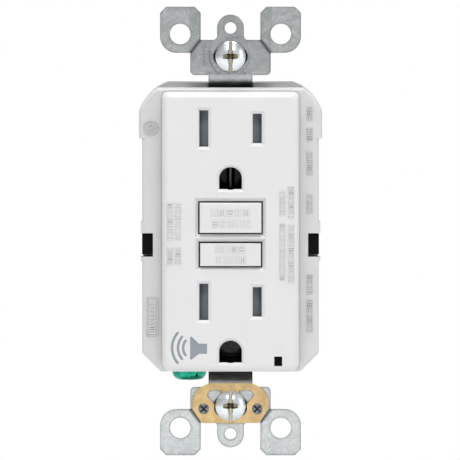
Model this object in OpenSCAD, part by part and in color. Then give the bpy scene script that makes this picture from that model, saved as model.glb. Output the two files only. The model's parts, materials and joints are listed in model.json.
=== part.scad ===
// Ground-fault duplex outlet with reset and test buttons.
// X runs to the right, Y into the wall and Z up. The origin is on the wall
// plane, which is the back of the yoke's ears, midway between the box screws.

/* [Yoke] */
// Distance between the two box screws
box_screw_span = 83.34; // [83:0.02:83.7]
// Distance between the two tapped holes for a cover plate
plate_screw_span = 96.84; // [96.4:0.02:97.2]
// Overall height of the yoke
yoke_h = 107; // [106.4:0.1:107.4]
// Thickness of the yoke's steel
yoke_t = 1.2; // [1:0.1:1.3]
// Radius of the holes in the break-off ears
ear_hole_r = 2.45; // [2.2:0.05:2.8]
// Half width of the yoke where it enters the body
neck_half = 5.25; // [4.9:0.05:5.3]

/* [Shells] */
// Width of the raised face
face_w = 32.8; // [32.4:0.1:33]
// Height of the raised face
face_h = 66.6; // [66.2:0.1:66.8]
// How far the face stands out from the wall plane
face_out = 8.2; // [8.1:0.1:8.6]
// How far the shoulder stands out from the wall plane
shoulder_out = 1.5; // [1.3:0.1:1.7]
// Rounding of the face's front edge
face_edge_r = 1.7; // [1:0.1:1.9]
// Width of the body between its straight sides
body_w = 42.1; // [41.8:0.1:42.6]
// Depth of the body behind the wall plane
body_depth = 26; // [26:0.1:27]
// Wall thickness of the two shells
wall = 1.6; // [1.5:0.1:1.7]

/* [Outlets] */
// Height of the upper outlet's blade slots
upper_z = 24.6; // [24.4:0.1:24.8]
// Height of the lower outlet's blade slots
lower_z = -16.65; // [-16.8:0.05:-16.5]
// Width of a blade slot
slot_w = 2.16; // [2:0.02:2.3]
// Height of the neutral slot
neutral_slot_h = 8.66; // [8.2:0.02:8.8]
// Height of the hot slot
hot_slot_h = 7; // [6.6:0.1:7.2]
// Width of a ground hole
ground_w = 5.4; // [5.2:0.1:5.6]

/* [Buttons] */
// Width of the reset button
reset_w = 14.7; // [14.5:0.05:15]
// Height of the reset button
reset_h = 7.15; // [7:0.05:7.6]
// Width of the test button
test_w = 14.45; // [14.3:0.05:15]
// Height of the test button
test_h = 5.45; // [5.3:0.05:5.9]

/* [Hidden] */
$fn = 96;
gap = 0.05;          // assembly gap between touching pieces
cut = 0.1;           // overshoot of a cutter

// places in depth, from the front to the back
face_y = -face_out;
shoulder_y = -shoulder_out;
part_y = 4;                        // parting plane between the shells
inner_strap_y = part_y;            // front of the yoke inside the body
strap_back_y = part_y + yoke_t;
board_y = 22;
board_t = 1.6;
face_in_y = face_y + 1.8;

// body outline
body_x = body_w / 2;
crown_x = body_x + 0.75;           // half width of the wide band at the top
crown_z = 22.2;                    // where that band ends
corner_x = 11.9;
corner_z = 25.5;
corner_r = 10.4;
cover_top = 34.25;
housing_top = 35.45;
body_bottom = -33.5;
chamfer = 4.4;
tan22 = tan(22.5);

// yoke outline
ear_in = 7.1;
ear_out = 16.8;
ear_low = 42.5;
score_angle = 52;                  // slope of the scored lines
score_w = 0.56;                    // and their width
ear_x = 12;
ear_z = 47;
yoke_z = yoke_h / 2;
plate_half = 9.6;
plate_low = 37.2;
plate_top = 45.6;
box_z = box_screw_span / 2;
plate_screw_z = plate_screw_span / 2;
rivet_x = 6.4;                     // studs of the strap that hold the clip
rivet_z = -42.4;
clip_t = 0.45;                     // thickness of the clip's brass
plate_hole_r = 1.4;
screw_r = 1.75;                    // 6-32 thread
neck_r = screw_r - 0.3;            // unthreaded neck under the head
slot_r = 2.1;                      // levelling slot for the box screw
slot_shift = 2;
strap_half = 4.3;                  // half width of the yoke inside the body

// outlets
blade_x = 6.35;
ground_drop = 11.9;
ground_r = ground_w / 2;
ground_h = 5.24;
outlets = [upper_z, lower_z];
// window for the lamp
light_x = [10.4, 12.3];
light_z = [-31.95, -29.65];

// buttons and the switch
reset_z = 3.36;
test_z = -5.4;
button_bevel = 0.8;
button_gap = 0.36;
pin_r = 1.5;
groove_r = 0.9;
latch_y = 12.6;
latch_t = 0.8;

// terminals
term_y = 12.9;
term_z = 16;
term_r = 2;
plate_x = 15.6;                    // inner face of a terminal plate
clamp_x = 11.6;                    // inner face of a pressure plate

// sensing coils and trip solenoid
coil_z = -19.5;
sol_y = 17;
sol_z0 = 17.6;
sol_z1 = 30.6;

// green ground screw
green_x = -9.84;
green_y = 8.5;
green_af = 7.14;
green_low = -35.85;              // end of the hexagonal head
green_seat = -32.45;             // its face against the yoke's tab

screw_posts = [[17.2, 28.5], [-17.2, 28.5], [16.8, -27], [-16.8, -27]];

// ---- helpers ----
// A drawing in X and Z, thickened along Y.
module slab(y0, y1) { translate([0, y1, 0]) rotate([90, 0, 0]) linear_extrude(y1 - y0) children(); }
// A drawing in Y and Z, thickened along X.
module slab_x(x0, x1) { translate([x0, 0, 0]) rotate([90, 0, 90]) linear_extrude(x1 - x0) children(); }
// A drawing in X and Y, thickened along Z.
module slab_z(z0, z1) { translate([0, 0, z0]) linear_extrude(z1 - z0) children(); }
module block(x, y, z) { translate([x[0], y[0], z[0]]) cube([x[1] - x[0], y[1] - y[0], z[1] - z[0]]); }
module rod_x(y, z, r, x0, x1) { translate([x0, y, z]) rotate([0, 90, 0]) cylinder(r = r, h = x1 - x0); }
module rod_y(x, z, r, y0, y1) { translate([x, y1, z]) rotate([90, 0, 0]) cylinder(r = r, h = y1 - y0); }
module rod_z(x, y, r, z0, z1) { translate([x, y, z0]) cylinder(r = r, h = z1 - z0); }
module both_x() { children(); mirror([1, 0, 0]) children(); }
module both_z() { children(); mirror([0, 0, 1]) children(); }
module area(x0, x1, z0, z1) { translate([x0, z0]) square([x1 - x0, z1 - z0]); }

// Rectangle with round corners, centred.
module rrect(w, h, r) {
    square([w, h - 2 * r], center = true);
    square([w - 2 * r, h], center = true);
    for (sx = [-1, 1]) for (sz = [-1, 1])
        translate([sx * (w / 2 - r), sz * (h / 2 - r)]) circle(r);
}

// Lead-in that narrows from the face: a rectangular frustum along Y.
module lead_in(x, z, w, h, widen, depth) {
    deep = face_y + depth;
    intersection() {
        slab_z(z - h, z + h) polygon([[x - w / 2 - widen, face_y], [x - w / 2, deep],
            [x + w / 2, deep], [x + w / 2 + widen, face_y],
            [x + w / 2 + widen, face_y - 1], [x - w / 2 - widen, face_y - 1]]);
        slab_x(x - w, x + w) polygon([[face_y, z - h / 2 - widen], [deep, z - h / 2],
            [deep, z + h / 2], [face_y, z + h / 2 + widen],
            [face_y - 1, z + h / 2 + widen], [face_y - 1, z - h / 2 - widen]]);
    }
}

// Helical spring along Z, from z = 0 to z = length.
module coil(r, wire, length, turns) {
    steps = turns * 14;
    sides = 6;
    pitch_z = (length - 2 * wire) / steps;
    points = [for (i = [0 : steps]) for (j = [0 : sides - 1])
        let (a = 360 * turns * i / steps, b = 360 * j / sides, q = r + wire * cos(b))
        [q * cos(a), q * sin(a), wire + pitch_z * i + wire * sin(b)]];
    tube = [for (i = [0 : steps - 1]) for (j = [0 : sides - 1]) for (half = [0, 1])
        let (k = (j + 1) % sides, a = i * sides, b = a + sides)
        half == 0 ? [a + j, b + j, b + k] : [a + j, b + k, a + k]];
    ends = [[for (j = [0 : sides - 1]) j],
        [for (j = [0 : sides - 1]) steps * sides + sides - 1 - j]];
    polyhedron(points = points, faces = concat(tube, ends));
}

// ---- body shells ----
// Wide upper part of the body's outline grown by g, cut off at height top.
module crown_outline(top, g) {
    intersection() {
        union() {
            both_x() translate([corner_x, corner_z]) circle(corner_r + g);
            area(-corner_x, corner_x, corner_z, corner_z + corner_r + g);
            area(-crown_x - 1, crown_x + 1, crown_z, corner_z);
        }
        area(-crown_x - g, crown_x + g, crown_z - cut, top + g);
    }
}

// Lower part of the body's outline grown by g, with sloping corners.
module lower_outline(g) {
    low = body_bottom - g;
    side = body_x + g;
    polygon([[side, crown_z], [side, body_bottom + chamfer - g * tan22],
        [body_x - chamfer + g * tan22, low], [chamfer - body_x - g * tan22, low],
        [-side, body_bottom + chamfer - g * tan22], [-side, crown_z]]);
}

// Whole outline of the body grown by g.
module body_outline(top, g) {
    crown_outline(top, g);
    lower_outline(g);
}

// Shoulder of the cover with a rounded front edge, upper and lower part.
module shoulder() {
    r = 0.9;
    angles = [0, 20, 45, 70, 90];
    hull() for (a = angles)
        slab(shoulder_y + r * (1 - sin(a)), part_y) crown_outline(cover_top, -r * (1 - cos(a)), $fn = 48);
    hull() for (a = angles)
        slab(shoulder_y + r * (1 - sin(a)), part_y) lower_outline(-r * (1 - cos(a)));
}

// Corners of the raised face, pulled in by inset: the lower ones are rounder.
module face_corners(inset) {
    for (sx = [-1, 1]) for (c = [[1, 1.4], [-1, 2.4]])
        translate([sx * (face_w / 2 - inset - c[1]), c[0] * (face_h / 2 - inset - c[1])])
            circle(c[1], $fn = 24);
}

// Raised face with a rounded front edge.
module raised_face() {
    hull() for (a = [0, 18, 36, 54, 72, 90])
        slab(face_y + face_edge_r * (1 - sin(a)), part_y)
            face_corners(face_edge_r * (1 - cos(a)));
}

// Opening for a ground pin: round at the top and square below.
module ground_hole(z) {
    translate([0, z]) circle(ground_r);
    area(-ground_r, ground_r, z + ground_r - ground_h, z);
}

module cover_openings() {
    for (z = outlets) {
        gz = z - ground_drop;
        slab(face_y - 1, part_y + cut) {
            area(-blade_x - slot_w / 2, -blade_x + slot_w / 2, z - neutral_slot_h / 2,
                z + neutral_slot_h / 2);
            area(blade_x - slot_w / 2, blade_x + slot_w / 2, z - hot_slot_h / 2, z + hot_slot_h / 2);
            ground_hole(gz);
        }
        lead_in(-blade_x, z, slot_w, neutral_slot_h, 0.7, 0.5);
        lead_in(blade_x, z, slot_w, hot_slot_h, 0.7, 0.5);
        lead_in(0, gz + (ground_r - ground_h) / 2, ground_w, ground_h - ground_r, 0.6, 0.5);
        translate([0, face_y + 0.5, gz]) rotate([90, 0, 0])
            cylinder(r1 = ground_r, r2 = ground_r + 1.8, h = 1.5);
    }
    for (button = [[reset_z, reset_w, reset_h], [test_z, test_w, test_h]]) {
        w = button[1] + 2 * button_gap;
        h = button[2] + 2 * button_gap;
        slab(face_y - 1, part_y) translate([0, button[0]]) square([w, h], center = true);
        lead_in(0, button[0], w, h, button_bevel, button_bevel);
    }
    block(light_x, [face_y - 1, part_y + cut], light_z);
}

module front_cover() color("white") difference() {
    union() {
        difference() {
            union() {
                shoulder();
                raised_face();
                both_x() block([body_x - 1, body_x + 0.4], [shoulder_y + 0.3, part_y], [-7.15, 2.3]);
            }
            slab(shoulder_y + wall, part_y + cut) body_outline(cover_top, -wall);
            slab(face_in_y, part_y + cut) square([face_w - 2 * wall, face_h - 2 * wall], center = true);
        }
        for (p = screw_posts) rod_y(p[0], p[1], 2.2, 0, part_y);
    }
    cover_openings();
    for (p = screw_posts) rod_y(p[0], p[1], 1.3, -0.9, part_y + cut);
    // side notches that show the separator's snap arms
    both_x() block([18.5, 23], [-3, part_y + cut], [-6.1, -0.5]);
    // room for the yoke's necks at both ends
    both_z() slab(0.2, part_y + cut) area(-neck_half - 0.4, neck_half + 0.4, 32, 40);
}

// Pocket for one terminal screw, on the side x > 0.
module pocket_walls(z) block([16.7, body_x - 0.2], [6.6, 19.9], [z - 6.4, z + 6.4]);
module pocket(z) {
    block([17.9, 23], [8, 18.5], [z - 5.2, z + 5.2]);
    rod_x(term_y, z, 4.3, 16, 19);
    for (s = [-1, 1]) block([13.2, 15.5], [body_depth - wall - 1, body_depth + 1],
        [z + s * 3.4 - 1.3, z + s * 3.4 + 1.3]);
}

module rear_housing() color("silver") difference() {
    union() {
        difference() {
            slab(part_y, body_depth) body_outline(housing_top, -0.1);
            slab(part_y - cut, body_depth - wall) body_outline(housing_top, -wall);
        }
        for (p = screw_posts) rod_y(p[0], p[1], 3, part_y, body_depth - 0.5);
        both_x() for (z = [-term_z, term_z]) pocket_walls(z);
        both_x() block([17.2, body_x - 0.2], [part_y, 12], [-7.4, 0.8]);
        // walls round the green screw's pocket
        block([-16, -4.4], [strap_back_y + 0.3, 14.2], [body_bottom + 0.1, -28.9]);
        for (x = [-11, 11]) for (z = [-28, 30])
            rod_y(x, z, 1.2, board_y + board_t, body_depth - 1);
    }
    for (p = screw_posts) {
        rod_y(p[0], p[1], 1.5, part_y - cut, body_depth);
        rod_y(p[0], p[1], 2.6, body_depth - 3.4, body_depth + 1);
    }
    both_x() for (z = [-term_z, term_z]) pocket(z);
    // snap recesses beside the cover's notches
    both_x() {
        block([18.5, 23], [part_y - cut, 10.6], [-6.1, -0.5]);
        block([17.7, 19], [8.2, 9.6], [-4.9, -1.7]);
    }
    // passages for the yoke's necks and its grounding tab
    slab(part_y - cut, strap_back_y + 0.2) {
        area(-neck_half - 0.25, neck_half + 0.25, 30, 40);
        area(-neck_half - 0.25, neck_half + 0.25, -40, -30);
        area(-14.6, -3, -32.9, -29);
    }
    block([-14.6, -5.6], [part_y - cut, 12.9], [-34, -31.05]);
    rod_z(green_x, green_y, 2.4, -33, -28);
}

module separator() color([0.06, 0.06, 0.07]) difference() {
    union() {
        slab(2.3, part_y - gap) square([29, 62.8], center = true);
        difference() {
            slab(-3.2, 3) square([29, 62.8], center = true);
            slab(-3.3, 3.1) square([26.6, 60.4], center = true);
        }
        for (z = outlets) for (s = [-1, 1])
            block([-14, 14], [-3.25, 3], [z + s * 6 - 0.6, z + s * 6 + 0.6]);
        rod_y(0, reset_z, 3.4, 1.2, 3);
        // snap arms
        both_x() {
            block([14, 21.1], [2.3, part_y - gap], [-5.5, -0.7]);
            block([18.7, 21.1], [-1.1, 9.9], [-5.5, -0.7]);
            slab_z(-4.6, -2) polygon([[18.8, 8.3], [17.9, 8.5], [18.8, 9.9]]);
        }
        block([-7.1, -5.1], [3.5, 6.9], [-12.9, -10.9]);
    }
    for (z = outlets) {
        slab(-4, 5) {
            both_x() area(4.6, 8.2, z - 5, z + 5);
            translate([0, z - ground_drop]) circle(2.45);
        }
    }
    rod_y(0, reset_z, 1.75, -4, 5);
    block([-7.2, -5], [-4, 5], [-6.6, -4.3]);
    block([10.1, 12.5], [-4, 5], [-32, -29.3]);
}

// ---- yoke ----
module ear_outline() {
    r = 3.9;
    c = 1.45;
    polygon([[ear_in, ear_low], [ear_in, yoke_z - c], [ear_in + c, yoke_z],
        [ear_out - c, yoke_z], [ear_out, yoke_z - c], [ear_out, ear_low + r], [ear_out - r, ear_low]]);
    translate([ear_out - r, ear_low + r]) circle(r);
}

module yoke_end_outline() {
    tab_r = 3.2;
    fillet = 1;
    difference() {
        union() {
            translate([0, (plate_low + plate_top) / 2]) rrect(2 * plate_half, plate_top - plate_low, 1.1);
            area(-plate_half, plate_half, plate_top - 2, plate_top);
            both_x() ear_outline();
            translate([0, plate_screw_z]) circle(tab_r);
            area(-tab_r, tab_r, plate_top - 1, plate_screw_z);
            both_x() difference() {
                area(tab_r - cut, tab_r + fillet, plate_top - cut, plate_top + fillet);
                translate([tab_r + fillet, plate_top + fillet]) circle(fillet);
            }
        }
        both_x() translate([ear_x, ear_z]) circle(ear_hole_r);
        translate([0, plate_screw_z]) circle(plate_hole_r);
        both_x() translate([slot_shift, box_z]) circle(slot_r);
        area(-slot_shift, slot_shift, box_z - slot_r, box_z + slot_r);
    }
}

// Points along an arc.
function arc(centre, r, from, to) =
    [for (i = [0 : 8]) let (a = from + (to - from) * i / 8) centre + r * [cos(a), sin(a)]];

// Side view of the neck: two bends with a slope between them take it back behind the cover.
module neck_profile() {
    inner_r = 0.6;
    outer_r = inner_r + yoke_t;
    turn = 65;
    front_bend = [inner_r, plate_low];
    slope = (strap_back_y - (inner_r + outer_r) * (1 - cos(turn))) / sin(turn);
    back_bend = front_bend - (inner_r + outer_r) * [cos(turn), sin(turn)]
        + slope * [sin(turn), -cos(turn)];
    polygon(concat([[-yoke_t, plate_low + 1]], arc(front_bend, outer_r, 180, 180 + turn),
        arc(back_bend, inner_r, turn, 0), [[part_y, 32], [strap_back_y, 32]],
        arc(back_bend, outer_r, 0, turn), arc(front_bend, inner_r, 180 + turn, 180),
        [[0, plate_low + 1]]));
}

module mounting_strap() color("lightgray") difference() {
    union() {
        both_z() {
            slab(-yoke_t, 0) yoke_end_outline();
            slab_x(-neck_half, neck_half) neck_profile();
            // drawn collar behind the tapped hole
            rod_y(0, plate_screw_z, 2.1, -0.5, 0.9);
        }
        slab(inner_strap_y, strap_back_y) {
            area(-strap_half, strap_half, -34, 34);
            area(-14.2, 0, -32.4, -30);
        }
        block([-14.2, -6], [inner_strap_y, 12.5], [-32.4, -31.2]);
    }
    both_z() {
        rod_y(0, plate_screw_z, plate_hole_r, -2, 2);
        // scored lines where the ears break off, on the front and the back
        both_x() translate([(ear_in + plate_half) / 2, 0, (plate_top + ear_low) / 2]) rotate([0, score_angle, 0]) {
            translate([0, -yoke_t, 0]) cube([4.1, 1.2, score_w], center = true);
            translate([0, 0.3, 0]) cube([5.4, 1, score_w / 2], center = true);
        }
    }
    for (s = [-1, 1]) rod_y(s * rivet_x, rivet_z, 1.3, -2, 1);
    for (z = outlets) rod_y(0, z - ground_drop, 2.9, 3, 6);
    rod_y(0, reset_z, 2.3, 3, 6);
    rod_z(green_x, green_y, term_r + gap, -33, -30);
}

module grounding_clip() color("goldenrod") {
    top = -36.3;
    bottom = -45.8;
    half = 9.1;
    slab(-yoke_t - clip_t, -yoke_t) difference() {
        translate([0, top - 5.5]) rrect(2 * half, 11, 5);
        area(-half, half, bottom - 3, bottom);
        // sloping lower corners
        both_x() polygon([[half + 0.65, -41.3], [half - 3.24, -47.3], [half + 1, -47.3], [half + 1, -41.3]]);
        translate([0, -41.8]) rrect(7.8, 4.6, 1.6);
        // the two lobes of the cut-out, with a tongue left between them
        both_x() polygon([[2, -38], [4.8, -37.9], [5.6, -38.7], [5.5, -39.5], [3.8, -41.4], [2, -40.2]]);
        area(-2.2, 2.2, -40.6, -39.55);
        both_x() translate([rivet_x, rivet_z]) circle(1.3);
    }
}

module clip_rivets() color("gray") for (s = [-1, 1]) difference() {
    rod_y(s * rivet_x, rivet_z, 1.27, -yoke_t - 0.75, -gap);
    for (a = [45, 135]) translate([s * rivet_x, -yoke_t - 0.75, rivet_z]) rotate([0, a, 0])
        cube([1.9, 0.5, 0.35], center = true);
}

module ground_contacts() color("goldenrod") for (z = outlets) {
    gz = z - ground_drop;
    difference() {
        union() {
            rod_y(0, gz, 3.1, strap_back_y, 13.3);
            block([-strap_half + 0.1, strap_half - 0.1], [strap_back_y, strap_back_y + 0.7],
                [gz - 3, gz + 3]);
        }
        rod_y(0, gz, 2.6, strap_back_y - 1, 14);
        block([-4, 4], [7.5, 14], [gz - 0.4, gz + 0.4]);
        block([-0.4, 0.4], [7.5, 14], [gz - 4, gz + 4]);
    }
}

module housing_screws() color("silver") for (p = screw_posts) difference() {
    union() {
        rod_y(p[0], p[1], 2.4, body_depth - 3.4, body_depth - 1.6);
        rod_y(p[0], p[1], 1.25, -0.8, body_depth - 3.4);
    }
    for (a = [0, 90]) translate([p[0], body_depth - 1.6, p[1]]) rotate([0, a, 0])
        cube([2.8, 1.6, 0.6], center = true);
}

// ---- live parts that stay put ----
// Load bus for the side x > 0: a spine, a clip at each blade, a terminal plate
// and the tab under its contact point.
module load_bus() {
    block([9.6, 10.4], [6, 8], [lower_z - 3, upper_z + 3]);
    for (z = outlets) {
        block([7.2, 10], [6, 6.8], [z - 3, z + 3]);
        block([7.2, 7.7], [1, 11], [z - 3.2, z + 3.2]);
        block([5, 5.5], [1, 11], [z - 3.2, z + 3.2]);
        block([5, 7.7], [11, 11.6], [z - 3.2, z + 3.2]);
    }
    block([7.8, 11.4], [7.2, 8], [6, 9.8]);
    block([10, plate_x + 1], [7.2, 8], [term_z - 3.6, term_z + 3.6]);
    difference() {
        block([plate_x, plate_x + 1], [7.2, 17.2], [term_z - 4.4, term_z + 4.4]);
        rod_x(term_y, term_z, term_r + 0.3, 15, 17);
    }
}
module hot_load_bus() color("goldenrod") load_bus();
module neutral_load_bus() color("silver") mirror([1, 0, 0]) load_bus();

module fixed_contact_points() color("gainsboro") both_x() rod_y(9.6, 8, 1.6, 8, 8.8);

// Line conductor for the side x > 0, from its terminal plate past the contact
// arm's root and through the sensing coils to the board.
module line_conductor() {
    difference() {
        union() {
            block([plate_x, plate_x + 1], [8.4, 17.2], [-term_z - 4.4, -term_z + 4.4]);
            block([plate_x, plate_x + 1], [8.4, 9.2], [-term_z, -10.8]);
        }
        rod_x(term_y, -term_z, term_r + 0.3, 15, 17);
    }
    block([7.2, plate_x + 1], [8.4, 9.2], [-12.1, -10.8]);
    block([7.2, 8], [8.4, 13], [-12.1, -10.8]);
    block([0.5, 8], [12.2, 13], [-12.1, -10.8]);
    block([0.5, 1.9], [12.2, 13], [-20.2, -10.8]);
    block([0.5, 1.9], [12.2, board_y - gap], [-20.2, -19]);
}
module line_hot_conductor() color("goldenrod") line_conductor();
module line_neutral_conductor() color("silver") mirror([1, 0, 0]) line_conductor();

// Contact arm for the side x > 0: a spring strip with a contact point near its free end.
module contact_arm() {
    block([8.2, 11.2], [9.6, 10.2], [-12.6, 9.8]);
    rod_y(9.6, 8, 1.6, 8.85, 9.9);
}
module hot_contact_arm() color("goldenrod") contact_arm();
module neutral_contact_arm() color("silver") mirror([1, 0, 0]) contact_arm();

module circuit_board() color("darkgreen") difference() {
    slab(board_y, board_y + board_t) area(-12.5, 12.5, -31, 33);
    for (x = [-11.5, 11.5]) for (z = [-7.8, 11]) rod_y(x, z, 0.9, 21, 25);
}

module ring(r_in, r_out, y0, y1) difference() {
    rod_y(0, coil_z, r_out, y0, y1);
    rod_y(0, coil_z, r_in, y0 - 1, y1 + 1);
}
module sense_coil() color("peru") ring(3, 5.7, 14.3, 17.1);
module grounded_neutral_coil() color("darkorange") ring(3, 5.7, 17.8, 20.6);
module transformer_case() color([0.1, 0.1, 0.12]) {
    ring(2.3, 2.9, 13.6, board_y - gap);
    ring(5.8, 6.5, 13.6, board_y - gap);
    ring(2.3, 6.5, 20.7, 21.4);
    ring(2.3, 6.5, 17.2, 17.7);
}

// ---- trip solenoid ----
module solenoid_bobbin() color("ivory") difference() {
    union() {
        rod_z(0, sol_y, 2.7, sol_z0, sol_z1);
        rod_z(0, sol_y, 4.8, sol_z0, sol_z0 + 0.8);
        rod_z(0, sol_y, 4.8, sol_z1 - 0.8, sol_z1);
    }
    rod_z(0, sol_y, 2.05, sol_z0 - 1, sol_z1 + 1);
}
module solenoid_winding() color("peru") difference() {
    rod_z(0, sol_y, 4.5, sol_z0 + 0.85, sol_z1 - 0.85);
    rod_z(0, sol_y, 2.75, sol_z0, sol_z1);
}
module solenoid_frame() color("silver") difference() {
    union() {
        block([-5, 5], [12, board_y - gap], [sol_z0 - 1.05, sol_z0 - gap]);
        block([-5, 5], [12, board_y - gap], [sol_z1 + gap, sol_z1 + 1.05]);
        block([-5, 5], [11.2, 12], [sol_z0 - 1.05, sol_z1 + 1.05]);
    }
    rod_z(0, sol_y, 1.2, sol_z0 - 2, sol_z0 + 1);
    rod_z(0, sol_y, 2.05, sol_z1 - 1, sol_z1 + 2);
}
module plunger() color("gray") {
    rod_z(0, sol_y, 1.85, sol_z0 + 3, sol_z1 + 2.4);
    rod_z(0, sol_y, 1, 9.3, sol_z0 + 3.5);
}
module plunger_spring() color("silver") translate([0, sol_y, sol_z0 + gap]) coil(1.55, 0.2, 2.9, 4);

// ---- board parts ----
module surge_suppressor() color("firebrick") {
    rod_y(7.4, -3, 4.4, 17.8, 21);
    for (s = [-1, 1]) rod_y(7.4 + 2.5 * s, -3, 0.4, 20.9, board_y);
}
module controller_chip() color([0.08, 0.08, 0.09]) {
    block([-11.4, -6.6], [20.4, 21.8], [1, 9]);
    for (z = [2 : 2 : 8]) for (s = [0, 1])
        block([-11.9 + s * 5.1, -11.2 + s * 5.1], [20.9, board_y], [z - 0.2, z + 0.2]);
}
module board_components() color("royalblue") {
    rod_y(8.4, 12.4, 2.6, 15.6, board_y);
    block([-11.6, -7.2], [17.6, board_y], [13, 19]);
    block([-11.8, -8.2], [18.6, board_y], [-11, -8.6]);
    for (z = [22, 25, 28]) rod_x(board_y - 1.2, z, 1.1, -11.6, -7);
    for (z = [21, 24]) rod_x(board_y - 1.2, z, 1.1, 7, 11.4);
    difference() {
        rod_y(8.6, 28.6, 2.2, 17.4, board_y);
        block([4, 8], [17, 23], [26, 32]);
    }
}
module buzzer() color([0.07, 0.07, 0.08]) difference() {
    rod_y(-10.3, -24.3, 3.3, 14.6, board_y);
    rod_y(-10.3, -24.3, 0.7, 14, 16);
}
module status_led() color("limegreen") {
    rod_y(11, -29, 1.5, 19.4, board_y);
    translate([11, 19.4, -29]) sphere(1.5);
}
// Dark square rod from the face's small window back to the lamp.
module light_pipe() color([0.05, 0.05, 0.05]) {
    block([light_x[0] + gap, light_x[1] - gap], [face_y + 0.8, 3.8],
        [light_z[0] + gap, light_z[1] - gap]);
    block([light_x[0] + gap, light_x[1] - gap], [3.7, 17.6], [-31, light_z[1] - gap]);
}
module test_post() color("gainsboro") rod_y(-6, -4.6, 0.5, 8.8, board_y);

// ---- buttons ----
module cap(z, w, h, front, flange_h) {
    r = 0.35;
    hull() {
        slab(front + r, face_in_y + 0.3) translate([0, z]) square([w, h], center = true);
        for (a = [30, 60, 90])
            slab(front + r * (1 - sin(a)), -6) translate([0, z])
                square([w - 2 * r * (1 - cos(a)), h - 2 * r * (1 - cos(a))], center = true);
    }
    slab(face_in_y + 0.1, -5.5) translate([0, z]) square([w + 2.2, flange_h], center = true);
}
module reset_button() color("whitesmoke") difference() {
    union() {
        cap(reset_z, reset_w, reset_h, -9, reset_h + 1);
        rod_y(0, reset_z, 2.9, -5.6, -4.4);
    }
    rod_y(0, reset_z, pin_r + 0.02, -7.6, -4);
}
// Steel pin with the groove that the latch plate holds.
module reset_pin() color("silver") {
    rod_y(0, reset_z, pin_r, -7.6, latch_y - 0.2);
    rod_y(0, reset_z, groove_r, latch_y - 0.3, latch_y + latch_t + 0.3);
    translate([0, 16, reset_z]) rotate([90, 0, 0]) cylinder(r1 = 0.7, r2 = pin_r, h = 1.4);
    rod_y(0, reset_z, pin_r, latch_y + latch_t + 0.2, 14.65);
}
module reset_spring() color("silver")
    translate([0, -4.35, reset_z]) rotate([-90, 0, 0]) coil(2.35, 0.25, 5.5, 5);

module test_button() color("whitesmoke") {
    cap(test_z, test_w, test_h, -8.6, test_h + 0.9);
    block([-6.9, -5.3], [-5.6, 6.8], [test_z - 0.8, test_z + 0.8]);
}
module test_blade() color("goldenrod") block([-7, -5.2], [7, 7.4], [-12.6, -3.6]);

// ---- lifter and latch ----
module lifter() color([0.15, 0.15, 0.17]) difference() {
    union() {
        block([-5.4, 5.4], [10.4, 15.4], [-3.4, 8.2]);
        both_x() block([5, 11.4], [10.5, 12], [2.4, 4.4]);
    }
    rod_y(0, reset_z, pin_r + 0.2, 9, 17);
    block([-2.8, 2.8], [latch_y - 0.1, latch_y + latch_t + 0.1], [-1.4, 9]);
    rod_z(0, latch_y + latch_t / 2, 1.35, -3, 0);
    // room for the latch plate's bent tab when the plate slides down
    block([-2.3, 2.3], [latch_y - 0.1, 16], [6.9, 9]);
}
module latch_plate() color("darkgray") {
    difference() {
        block([-2.6, 2.6], [latch_y, latch_y + latch_t], [-0.2, 9.1]);
        // the hole's lower edge sits in the pin's groove until the latch slides down
        rod_y(0, reset_z + 0.92, pin_r + 0.35, latch_y - 1, latch_y + 2);
    }
    block([-2, 2], [latch_y, latch_y + 6.6], [8.3, 9.1]);
}
module latch_spring() color("silver") translate([0, latch_y + latch_t / 2, -2.95]) coil(1, 0.18, 2.7, 4);

// ---- tamper-resistant shutters ----
module shutter_trays() color("lightsteelblue") for (z = outlets) difference() {
    block([-12.4, 12.4], [face_in_y + 0.1, -3.35], [z - 6.5, z + 6.5]);
    block([-11.4, 11.4], [face_in_y - 1, -4.3], [z - 5.3, z + 5.3]);
    both_x() block([4.7, 8], [-5, -3], [z - 4.7, z + 4.7]);
}
// Shutter for the side x > 0 with a ramp that the blade pushes on.
module shutter(z, h) slab_z(z - h / 2, z + h / 2)
    polygon([[4.7, -6.2], [4.7, -4.4], [8.2, -4.4], [8.2, -5.3], [7.8, -5.3], [5.4, -6.2]]);
module upper_hot_shutter() color("slategray") shutter(upper_z, 8.4);
module upper_neutral_shutter() color("slategray") mirror([1, 0, 0]) shutter(upper_z, 9.8);
module lower_hot_shutter() color("slategray") shutter(lower_z, 8.4);
module lower_neutral_shutter() color("slategray") mirror([1, 0, 0]) shutter(lower_z, 9.8);
module shutter_spring(z) color("silver")
    translate([-4.65, -5.2, z]) rotate([0, 90, 0]) coil(0.62, 0.17, 9.3, 7);
module upper_shutter_spring() shutter_spring(upper_z);
module lower_shutter_spring() shutter_spring(lower_z);

// ---- fasteners ----
module cross_slot(w, depth) {
    cube([w, depth, 0.8], center = true);
    cube([0.9, depth, 2 * w], center = true);
}
module mounting_screw(s) color("silver") {
    z = s * box_z;
    difference() {
        intersection() {
            rod_y(0, z, 3.6, -yoke_t - 2.5, -yoke_t - 0.46);
            translate([0, 1.05, z]) sphere(4.9);
        }
        translate([0, -yoke_t - 2.5, z]) cross_slot(4, 1.8);
    }
    // plain neck that the retainer grips, then the threaded shank
    rod_y(0, z, neck_r, -yoke_t - 0.5, 2);
    rod_y(0, z, screw_r, 1.6, 20.8);
}
module mounting_screw_upper() mounting_screw(1);
module mounting_screw_lower() mounting_screw(-1);

module screw_retainer(s) color("beige") difference() {
    block([-4.5, 4.5], [gap, 1], [s * box_z - 3.8, s * box_z + 3.8]);
    rod_y(0, s * box_z, neck_r + 0.03, -1, 2);
}
module screw_retainer_upper() screw_retainer(1);
module screw_retainer_lower() screw_retainer(-1);

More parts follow.
